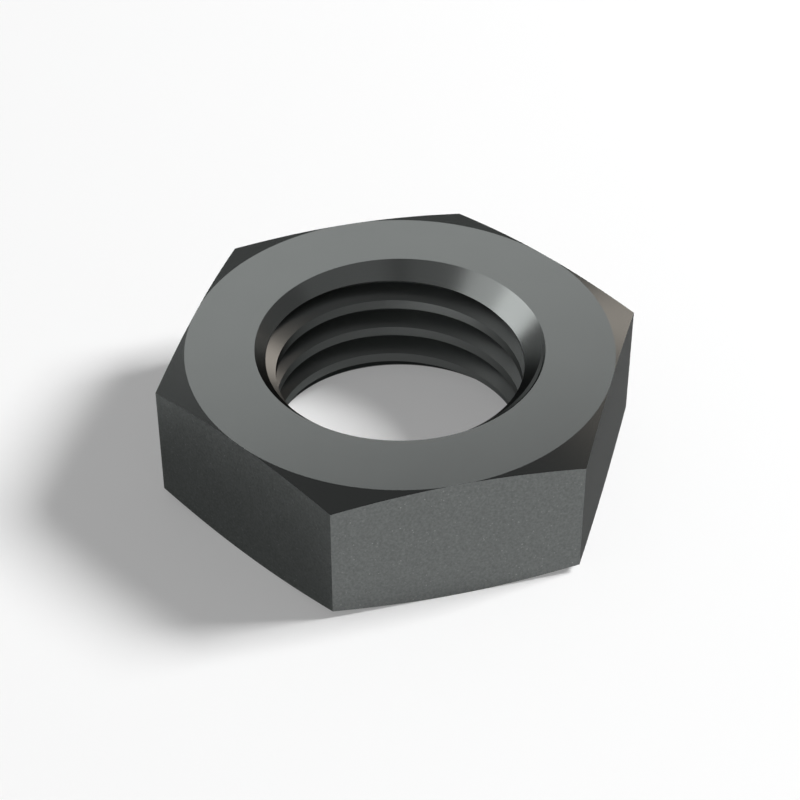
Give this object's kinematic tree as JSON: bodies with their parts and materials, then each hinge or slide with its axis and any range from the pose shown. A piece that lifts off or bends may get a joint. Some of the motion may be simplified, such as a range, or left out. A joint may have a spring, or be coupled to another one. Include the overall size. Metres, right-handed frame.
{
  "type": "thin hex nut",
  "caption": "Thin hexagonal nut, chamfered at both faces, with a countersunk right-hand metric thread through it.",
  "frame": {"origin": "centre of the lower bearing face, on the thread's axis", "axes": "+Z along the thread's axis, +X towards a corner, +Y towards the middle of a flat"},
  "size_m": [0.0278, 0.024, 0.008],
  "materials": {
    "nut_steel": "dark satin steel, finely blasted on the flats"
  },
  "bodies": {
    "root": {"hex_nut": "nut_steel"}
  },
  "joints": []
}
